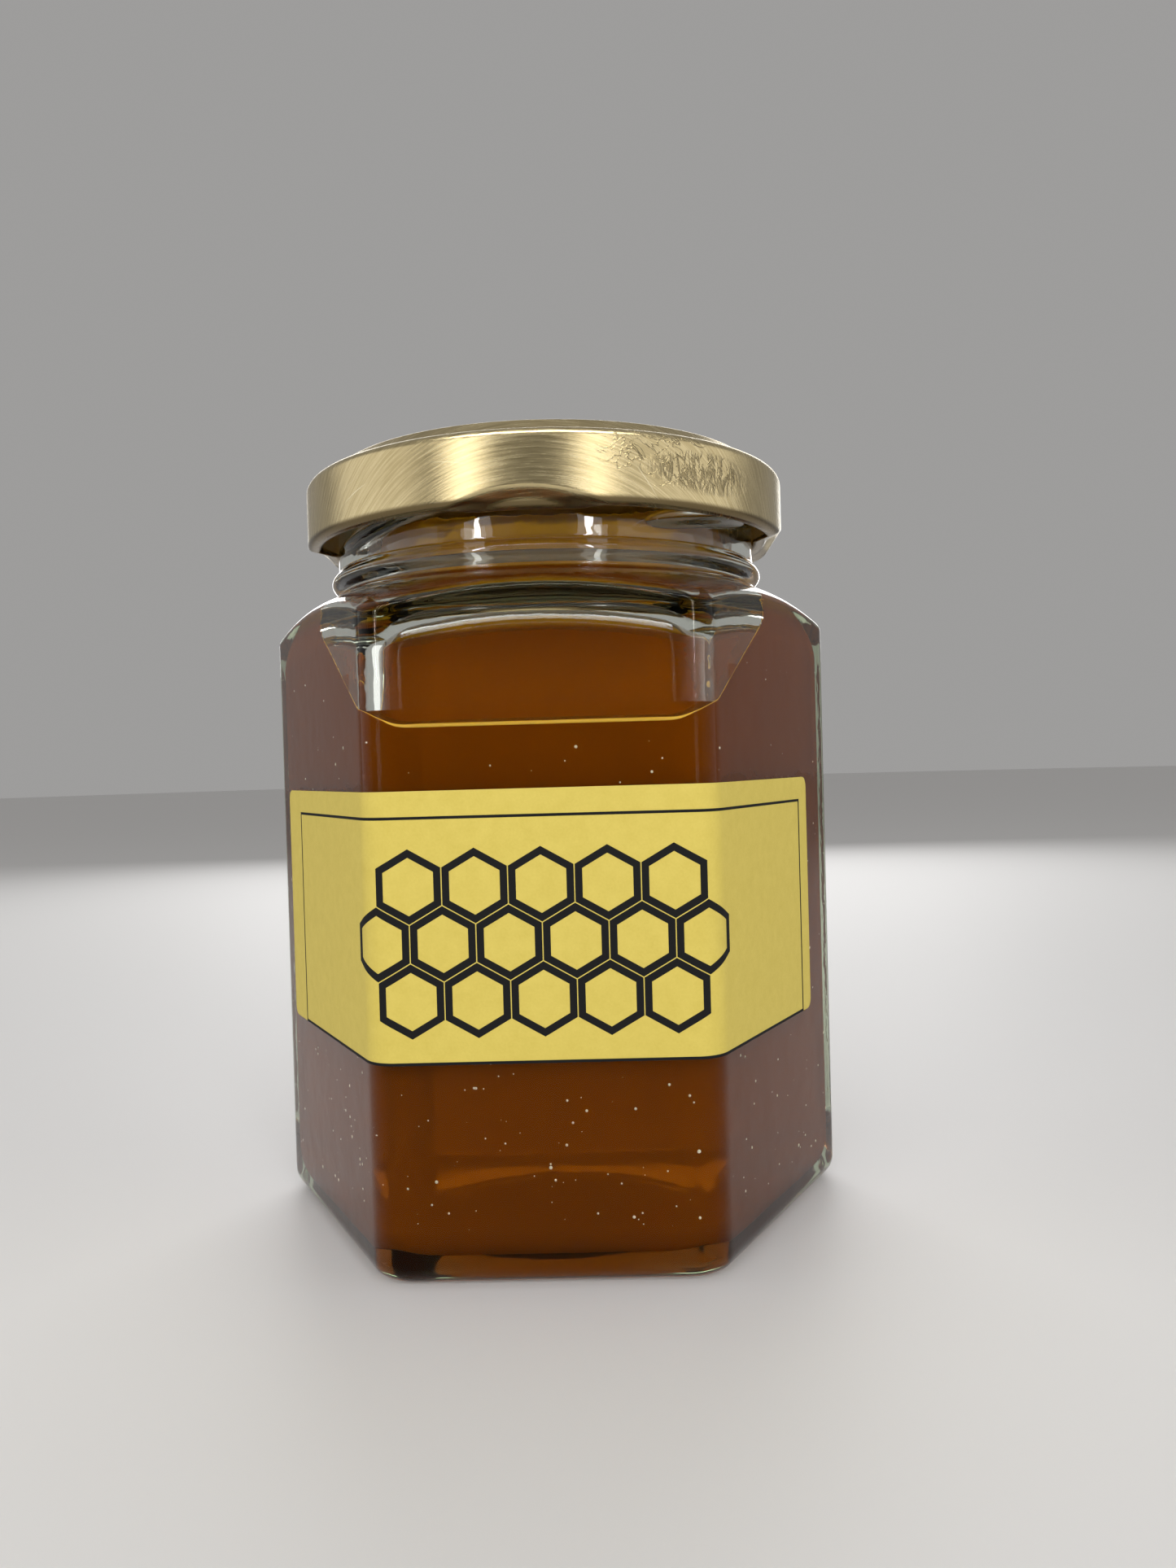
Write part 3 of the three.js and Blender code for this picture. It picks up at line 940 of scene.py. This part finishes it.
glass.data.materials.append(clear_glass())
print("glass finish:", glass.data.materials[0].name)

# %% Wet and shining faces of the glass
FACE_SHINE = 0.15
NECK_SHINE = 0.8
# A face belongs to the hollow up to this share of the wall, and above this share of the floor.
HOLLOW_SHARE = 1 / 3
FLOOR_SHARE = 0.6


def glass_shine(mesh):
    """How much the glass shines: little on the pressed faces, more up the smoother neck."""
    height = face_centres(mesh)[2]
    up_neck = smoothstep(height, NECK_FOOT - NECK_ROUND, NECK_FOOT + NECK_ROUND)
    return FACE_SHINE + (NECK_SHINE - FACE_SHINE) * up_neck


def wetted(mesh):
    """True for the faces of the hollow that lie below the surface of the honey."""
    angle, radius, height = face_centres(mesh)
    inside = radius < inner_radius(angle, height) + WALL * HOLLOW_SHARE
    return inside & (height > FLOOR_SHARE * FLOOR) & (height < honey_surface(radius, angle))


wet = wetted(glass.data)
store_optics(glass.data, wet, glass_shine(glass.data), GLASS_INDEX)
print("wetted glass faces:", int(wet.sum()))

# %% [markdown]
# ### Honey
# This honey is dark amber brown and hazy with fine crystals and pollen. Half of the light goes through, and
# is coloured on its way by absorption in the volume. The other half is scattered back by the haze, which
# stands on the surface as plain brown, and keeps the honey even where a clear liquid would show every bend
# of light. Up in the neck, where there is less honey for the light to pass, the base colour is painted a
# lighter gold: painted light for the glow of thin honey, which also makes up for the shade under the lid.

# %% Honey material
HONEY_BROWN = (0.300, 0.068, 0.0005)
# Painted light: the lighter gold of the honey up in the neck, for the glow of thin honey under the lid.
HONEY_NECK_LIT = (0.98, 0.50, 0.012)
NECK_LIT_FROM = NECK_FOOT - 5.0 * MM
NECK_LIT_TO = NECK_FOOT + 1.0 * MM
HONEY_AMBER = (0.88, 0.87, 0.20)
HONEY_DENSITY = 100.0


def ramp(tree, value, low, high, to_low=0.0, to_high=1.0):
    """A value carried smoothly from one range to another and held at the ends."""
    limits = {"From Min": low, "From Max": high, "To Min": to_low, "To Max": to_high}
    node = add(tree, "ShaderNodeMapRange", {"interpolation_type": "SMOOTHSTEP", **limits}, Value=value)
    return node.outputs[0]


def colour_mix(tree, factor, first, second):
    """A colour between two, by a factor; each colour is a constant or another node's output."""
    node = add(tree, "ShaderNodeMix", {"data_type": "RGBA"})
    tree.links.new(factor, node.inputs["Factor"])
    for socket, colour in ((node.inputs[6], first), (node.inputs[7], second)):
        if isinstance(colour, tuple):
            socket.default_value = (*colour, 1.0)
        else:
            tree.links.new(colour, socket)
    return node.outputs[2]


def height_up(tree, place_in):
    """The height of a point, from its Object coordinates."""
    return add(tree, "ShaderNodeSeparateXYZ", Vector=place_in.outputs["Object"]).outputs["Z"]


def amber_honey():
    """Honey with its colour in the body: brown below, and painted a lighter gold up in the neck."""
    material, tree, shader = new_material(
        "amber_honey", Roughness=0.16, IOR=HONEY_INDEX, Transmission_Weight=0.5
    )
    read_optics(tree, shader)
    place_in = add(tree, "ShaderNodeTexCoord")
    # Painted light: the base colour turns to the lighter gold up the neck.
    thin = ramp(tree, height_up(tree, place_in), NECK_LIT_FROM, NECK_LIT_TO)
    tree.links.new(colour_mix(tree, thin, HONEY_BROWN, HONEY_NECK_LIT), shader.inputs["Base Color"])
    tint_body(tree, HONEY_AMBER, HONEY_DENSITY)
    return material


honey.data.materials.append(amber_honey())
print("honey finish:", honey.data.materials[0].name)

# %% Open surface of the honey
HONEY_SHINE = 0.15
SURFACE_DEPTH = 0.08 * MM


def open_surface(mesh):
    """True for the faces of the honey that look into the air of the jar."""
    angle, radius, height = face_centres(mesh)
    return height > honey_surface(radius, angle) - SURFACE_DEPTH


dry = open_surface(honey.data)
store_optics(honey.data, ~dry, HONEY_SHINE, HONEY_INDEX)
print("honey faces in the air:", int(dry.sum()))

# %% [markdown]
# ### Bubbles and the contact line
# A bubble or a crumb of wax shows only as a pale glint, so a plain glossy cream is enough: on a crumb of wax
# that is its own colour, on a bubble a painted highlight. The contact line is an opaque gold, a painted
# highlight for the bright line of thin honey. Both are small, and an opaque colour keeps them free of noise.

# %% Small finishes in the honey
# Cream is the own colour of wax crumbs, and on bubbles a painted highlight.
WAX_AND_GLINT_CREAM = (0.96, 0.88, 0.66, 1.0)
# Painted highlight: the contact line is an opaque ring of this gold.
CONTACT_HIGHLIGHT_GOLD = (0.86, 0.50, 0.05, 1.0)
bubble_glint = new_material("bubble_glint", Base_Color=WAX_AND_GLINT_CREAM, Roughness=0.25, IOR=1.3)[0]
contact_highlight = new_material("contact_highlight", Base_Color=CONTACT_HIGHLIGHT_GOLD, Roughness=0.12, IOR=HONEY_INDEX)[0]
bubbles.data.materials.append(bubble_glint)
contact.data.materials.append(contact_highlight)
print("finishes:", bubble_glint.name, contact_highlight.name)

# %% [markdown]
# ### Wrinkled lacquer
# At the front right of the lid the lacquer has cracked and run in wrinkles. Thin lines come from a noise:
# they lie where it passes one half. A spherical gradient, centred on the spot by a Mapping node, keeps them
# in their patch. The lines make a bump, and the gold is painted darker along them: painted shade in the
# folds.

# %% Cracks and drips
CRACKS = {"azimuth": 27.0, "level": 96.4 * MM, "reach": 9.0 * MM, "height": 4.2 * MM}
DRIPS = {"azimuth": 38.0, "level": 95.0 * MM, "reach": 10.0 * MM, "height": 3.0 * MM}
CRACK_SCALE = (230.0, 230.0, 330.0)
CRACK_WIDTH = 0.02
DRIP_SCALE = (900.0, 900.0, 300.0)
DRIP_WIDTH = 0.08


def noise(tree, vector, scale, **values):
    """A noise texture on a vector that a Mapping node has scaled first."""
    scaled = add(tree, "ShaderNodeMapping", {"Scale": scale}, Vector=vector)
    texture = add(tree, "ShaderNodeTexNoise", {"Scale": 1.0, **values}, Vector=scaled.outputs["Vector"])
    return texture.outputs["Fac"]


def wrinkle_patch(tree, spot, azimuth, level, reach, height):
    """One inside a patch of the skirt, at an azimuth right of the front, fading to nothing at its edge."""
    turn = math.radians(azimuth)
    middle = (LID_RADIUS * math.sin(turn), -LID_RADIUS * math.cos(turn), level)
    to_patch = {"vector_type": "TEXTURE", "Location": middle, "Scale": (reach, reach, height)}
    centred = add(tree, "ShaderNodeMapping", to_patch, Vector=spot).outputs["Vector"]
    ball = add(tree, "ShaderNodeTexGradient", {"gradient_type": "SPHERICAL"}, Vector=centred)
    return ramp(tree, ball.outputs["Fac"], low=0.05, high=0.45)


def fold_lines(tree, spot, scale, width):
    """Thin lines where a noise passes one half: cracks or wrinkles, by the scale of the noise."""
    folds = noise(tree, spot, scale, Detail=4.0, Roughness=0.6, Distortion=0.8)
    from_line = math_node(tree, "ABSOLUTE", math_node(tree, "SUBTRACT", folds, 0.5), 0.0)
    return ramp(tree, from_line, 0.0, width, to_low=1.0, to_high=0.0)


def lacquer_wrinkles(tree, spot):
    """Long cracks in one patch, and beside it short upright runs of lacquer."""
    cracks = fold_lines(tree, spot, CRACK_SCALE, CRACK_WIDTH)
    drips = fold_lines(tree, spot, DRIP_SCALE, DRIP_WIDTH)
    cracked = math_node(tree, "MULTIPLY", cracks, wrinkle_patch(tree, spot, **CRACKS))
    dripped = math_node(tree, "MULTIPLY", drips, wrinkle_patch(tree, spot, **DRIPS))
    return math_node(tree, "MAXIMUM", cracked, dripped)


print("wrinkled lacquer at", CRACKS["azimuth"], "and", DRIPS["azimuth"], "degrees right of the front")

# %% [markdown]
# ### Gold lacquer on tinplate
# The lid is sheet metal under a gold lacquer. Rolling left a straight grain in the flat sheet. The lid's UV
# map is that flat disc, so the pressed grain comes out as on the real one: level at the front, slanting
# more and more towards the sides. Handling left a few scratches. The rolled edge is painted darker than the
# skirt: painted shade where the curl and the lugs turn down, away from the light.

# %% Gold outside
GRAIN_SCALE = (90.0, 3000.0, 1.0)
SCRATCH_SCALE = (60.0, 3200.0, 1.0)
SCRATCH_TURN = math.radians(24.0)
GOLD_DEEP = (0.47, 0.375, 0.19)
GOLD_PALE = (0.69, 0.57, 0.325)
GOLD_SCRATCHED = (0.80, 0.71, 0.48)
# Painted shade: the rolled edge, turned down away from the light, is painted this dark gold.
GOLD_EDGE_SHADE = (0.17, 0.125, 0.06)
# Painted shade: along the wrinkle lines the gold is mixed towards this dark brown, by the share below.
GOLD_CRACK_SHADE = (0.15, 0.11, 0.05)
CRACK_SHADE_SHARE = 0.6
GRAIN_DULLS = 0.08
LACQUER_DEPTH = 0.3 * MM
# The painted shade on the rolled edge begins at the first height and is full at the second.
EDGE_SHADE_TOP = LID_BOTTOM + 1.5 * CURL
EDGE_SHADE_FULL = LID_BOTTOM + 0.8 * CURL


def gold_colour(tree, place_in, grain, wrinkles):
    """Deep to pale gold grain, pale scratches, and painted shade on the rolled edge and wrinkle lines."""
    turn = {"Rotation": (0.0, 0.0, SCRATCH_TURN)}
    turned = add(tree, "ShaderNodeMapping", turn, Vector=place_in.outputs["UV"])
    scratches = noise(tree, turned.outputs["Vector"], SCRATCH_SCALE, Detail=1.0)
    scratches = ramp(tree, scratches, low=0.70, high=0.78)
    rolled = ramp(tree, height_up(tree, place_in), EDGE_SHADE_TOP, EDGE_SHADE_FULL)
    gold = colour_mix(tree, grain, GOLD_DEEP, GOLD_PALE)
    gold = colour_mix(tree, scratches, gold, GOLD_SCRATCHED)
    # Painted shade on the rolled edge.
    gold = colour_mix(tree, rolled, gold, GOLD_EDGE_SHADE)
    # Painted shade along the wrinkle lines.
    return colour_mix(tree, math_node(tree, "MULTIPLY", wrinkles, CRACK_SHADE_SHARE), gold, GOLD_CRACK_SHADE)


def gold_lacquer():
    """Lacquered sheet: rolled grain, scratches, cloudy gloss and the wrinkles."""
    material, tree, shader = new_material("gold_lacquer", Metallic=1.0)
    place_in = add(tree, "ShaderNodeTexCoord")
    grain = noise(tree, place_in.outputs["UV"], GRAIN_SCALE, Detail=6.0, Roughness=0.75)
    grain = ramp(tree, grain, low=0.34, high=0.66)
    wrinkles = lacquer_wrinkles(tree, place_in.outputs["Object"])
    tree.links.new(gold_colour(tree, place_in, grain, wrinkles), shader.inputs["Base Color"])
    clouds = add_clouds(tree, place_in.outputs["Object"], scale=90.0, contrast=0.9)
    worn = ramp(tree, clouds, low=0.2, high=0.8, to_low=0.16, to_high=0.24)
    dulled = math_node(tree, "ADD", worn, math_node(tree, "MULTIPLY", grain, GRAIN_DULLS))
    tree.links.new(dulled, shader.inputs["Roughness"])
    grained = bumped(tree, grain, strength=0.05, distance=LACQUER_DEPTH)
    wrinkled = bumped(tree, wrinkles, strength=0.45, distance=LACQUER_DEPTH, Normal=grained)
    tree.links.new(wrinkled, shader.inputs["Normal"])
    return material


lid.data.materials.append(gold_lacquer())
print("lid outside:", lid.data.materials[0].name)

# %% [markdown]
# ### The lining inside the lid
# Inside, the lid has a pale lining that throws light down into the glass under it. Gold and lining are two
# materials on one mesh: each face names one of them by its number, worked out from where the face looks.

# %% Cream inside
CREAM_DEEP = (0.70, 0.66, 0.52)
CREAM_PALE = (0.78, 0.74, 0.61)
# A face looks to a side where that part of its normal is larger than this.
FACING = 0.3


def cream_liner():
    """The pale lining inside the lid, faintly mottled."""
    material, tree, shader = new_material("cream_liner", Roughness=0.45)
    place_in = add(tree, "ShaderNodeTexCoord")
    mottle = add_clouds(tree, place_in.outputs["Object"], scale=220.0, contrast=1.2)
    tree.links.new(colour_mix(tree, mottle, CREAM_DEEP, CREAM_PALE), shader.inputs["Base Color"])
    return material


def lined(mesh):
    """True for the faces inside the lid: those of the top that look down, and those of the skirt, above its
    rolled edge, that look towards the axis."""
    normal = np.empty(3 * len(mesh.polygons))
    mesh.polygons.foreach_get("normal", normal)
    x, y, upwards = normal.reshape(-1, 3).T
    angle, _, height = face_centres(mesh)
    outwards = x * np.cos(angle) + y * np.sin(angle)
    down = (upwards < -FACING) & (height > LEDGE - 2 * LEDGE_ROUND)
    to_axis = (outwards < -FACING) & (upwards < FACING) & (height > LID_BOTTOM + 2 * CURL + SHEET)
    return down | to_axis


inside_lid = lined(lid.data)
lid.data.materials.append(cream_liner())
lid.data.polygons.foreach_set("material_index", inside_lid.astype(np.int32))
print("lined faces:", int(inside_lid.sum()), "of", len(inside_lid))

# %% [markdown]
# ### Paper and ink
# The label is uncoated yellow paper: dull, with short fibres and a slight mottle. The ink is a plain black.

# %% Label finishes
YELLOW_DEEP = (0.54, 0.42, 0.068)
YELLOW_PALE = (0.635, 0.507, 0.102)
INK_BLACK = (0.006, 0.006, 0.006, 1.0)


def label_yellow():
    """Dull yellow paper whose mottle also stands out as a faint bump."""
    material, tree, shader = new_material("label_yellow", Roughness=0.72)
    place_in = add(tree, "ShaderNodeTexCoord")
    mottle = add_clouds(tree, place_in.outputs["Object"], scale=650.0, contrast=1.5)
    tree.links.new(colour_mix(tree, mottle, YELLOW_DEEP, YELLOW_PALE), shader.inputs["Base Color"])
    tree.links.new(bumped(tree, mottle, strength=0.15, distance=0.1 * MM), shader.inputs["Normal"])
    return material


black_ink = new_material("black_ink", Base_Color=INK_BLACK, Roughness=0.75, Specular_IOR_Level=0.2)[0]
label.data.materials.append(label_yellow())
ink.data.materials.append(black_ink)
print("label finishes:", label.data.materials[0].name, black_ink.name)

# %% [markdown]
# ## Floor
# The jar stands on a pale floor that is wide enough to meet the surround far behind it. It lies a hair
# below the base, so that the two don't share one plane, and is part of the studio, not of the jar.

# %% Floor
STUDIO_LEVEL = -0.02 * MM
STUDIO_RADII = (4.0, 1.5, 0.6, 0.2, 0.0)
STUDIO_COLUMNS = 96
STUDIO_PALE = (0.78, 0.77, 0.76, 1.0)


def floor_disc():
    """A wide level disc: rows of shrinking radius."""
    return polar_points(np.array(STUDIO_RADII)[:, None], turns(STUDIO_COLUMNS), STUDIO_LEVEL)


floor = grid_object("studio_floor", floor_disc())
floor.data.materials.append(new_material("pale_floor", Base_Color=STUDIO_PALE, Roughness=0.55)[0])
print("floor radius, m:", STUDIO_RADII[0])

# %% [markdown]
# ## Lights
# Large soft lights make a plain studio. Two at the sides light the side faces. Two upright bars in front
# draw the bright stripes on the lid. A light at the back shines through the honey, and a broad fill in
# front, which no reflection shows, lights the label. A bar above, which dull surfaces don't see, brightens
# the ledge of the lid. Two narrow tubes light only the glass, and give the neck its glints.

# %% Lights
LIGHT_TARGET = np.array([0.0, 0.0, 0.055])
LAMP_LEFT = -32
LAMP_RIGHT = 25
# Each light is its azimuth right of the front and elevation in degrees, its distance, width and height in
# metres, and its power in watts.
LIGHTS = {
    "side_left": (-80, 15, 0.55, 0.50, 0.45, 0.46),
    "side_right": (70, 15, 0.55, 0.62, 0.45, 0.57),
    "bar_left": (LAMP_LEFT, 17, 0.50, 0.12, 0.36, 0.40),
    "bar_right": (LAMP_RIGHT, 17, 0.50, 0.11, 0.36, 0.34),
    "soft_back": (180, 24, 0.55, 0.50, 0.34, 1.40),
    "fill_front": (3, 24, 0.60, 0.50, 0.40, 1.70),
    "bar_above": (0, 62, 0.55, 0.60, 0.08, 1.80),
    "tube_left": (LAMP_LEFT, 22, 0.60, 0.03, 0.36, 1.0),
    "tube_right": (LAMP_RIGHT, 22, 0.60, 0.03, 0.36, 1.0),
}


def soft_light(name, azimuth, elevation, distance, width, height, power):
    """A rectangular light that faces the jar. Its axes are the columns of its matrix: side, up and away."""
    lamp = bpy.data.lights.new(name, "AREA")
    lamp.shape = "RECTANGLE"
    lamp.size = width
    lamp.size_y = height
    lamp.energy = power
    turn = FRONT + math.radians(azimuth)
    lift = math.radians(elevation)
    away = np.array([math.cos(turn) * math.cos(lift), math.sin(turn) * math.cos(lift), math.sin(lift)])
    side = np.array([-math.sin(turn), math.cos(turn), 0.0])
    axes = np.column_stack([side, np.cross(away, side), away, LIGHT_TARGET + away * distance])
    light = bpy.data.objects.new(name, lamp)
    light.matrix_world = Matrix(np.vstack([axes, [0, 0, 0, 1]]).tolist())
    bpy.context.scene.collection.objects.link(light)
    return light


def hide_from(thing, *rays):
    """Keeps a light or a piece of the studio out of some kinds of rays."""
    for ray in rays:
        setattr(thing, f"visible_{ray}", False)


lights = {name: soft_light(name, *values) for name, values in LIGHTS.items()}
hide_from(lights["soft_back"], "camera")
hide_from(lights["fill_front"], "glossy", "transmission")
hide_from(lights["bar_above"], "diffuse")
glint_receivers = bpy.data.collections.new("glint_receivers")
glint_receivers.objects.link(glass)
for tube in (lights["tube_left"], lights["tube_right"]):
    hide_from(tube, "diffuse")
    tube.light_linking.receiver_collection = glint_receivers
print("lights:", ", ".join(lights))

# %% [markdown]
# ## Dark card
# Between its bright stripes the lid shows a darker one, because nothing bright stands straight in front of
# it. A dark card behind the camera does the same here. It shows in mirror images and through glass, and
# neither darkens dull surfaces nor casts a shadow.

# %% Dark card
CARD_HALF = 0.14
CARD_HEIGHT = 0.30
CARD_PLACE = -0.60
CARD_GREY = (0.20, 0.20, 0.20, 1.0)


def card_points():
    """An upright rectangle from two rows of two corners."""
    across = np.array([-CARD_HALF, CARD_HALF])[None, :]
    up = np.array([0.0, CARD_HEIGHT])[:, None]
    return np.stack(np.broadcast_arrays(across, CARD_PLACE, up), -1)


card = grid_object("dark_card", card_points(), closed_columns=False)
hide_from(card, "camera", "diffuse", "shadow")
card.data.materials.append(new_material("card_grey", Base_Color=CARD_GREY, Roughness=0.9)[0])
print("dark card, m:", 2 * CARD_HALF, "by", CARD_HEIGHT)

# %% [markdown]
# ## Surround
# An even grey all round fills the shadows and gives glass and metal something plain to reflect.

# %% Surround
SURROUND_GREY = (0.34, 0.335, 0.33, 1.0)
world = bpy.data.worlds.new("grey_surround")
world.use_nodes = True
world.node_tree.nodes["Background"].inputs["Color"].default_value = SURROUND_GREY
bpy.context.scene.world = world
print("surround:", world.name)

# %% [markdown]
# ## Camera
# The camera stands close, a little above the middle of the jar, and leans by a degree and a half, as the
# picture does. Its lens is given as the focal length in pixels of a picture with a known long side. Light
# goes through many faces of glass and honey before it reaches the lens, so paths may be long.

# %% Camera
CAMERA_PLACE = (8.0 * MM, -162.5 * MM, 60.4 * MM)
CAMERA_YAW = math.radians(1.04)
CAMERA_PITCH = math.radians(-1.04)
CAMERA_ROLL = math.radians(1.6)
LENS_PIXELS = 1379.0
IMAGE_LONG_SIDE = 1927.0
SENSOR = 36.0
NEAREST = 5.0 * MM
BOUNCES = 12

camera_data = bpy.data.cameras.new("camera")
camera_data.sensor_width = SENSOR
camera_data.lens = LENS_PIXELS / IMAGE_LONG_SIDE * SENSOR
camera_data.clip_start = NEAREST
camera = bpy.data.objects.new("camera", camera_data)
upright = Matrix.Rotation(math.pi / 2, 4, "X")
yaw = Matrix.Rotation(CAMERA_YAW, 4, "Z")
pitch = Matrix.Rotation(CAMERA_PITCH, 4, "X")
roll = Matrix.Rotation(CAMERA_ROLL, 4, "Y")
camera.matrix_world = Matrix.Translation(CAMERA_PLACE) @ yaw @ pitch @ roll @ upright
scene = bpy.context.scene
scene.collection.objects.link(camera)
scene.camera = camera
scene.view_settings.view_transform = "Standard"
scene.cycles.max_bounces = BOUNCES
scene.cycles.transmission_bounces = BOUNCES
scene.cycles.use_denoising = True
print("lens mm:", camera_data.lens)
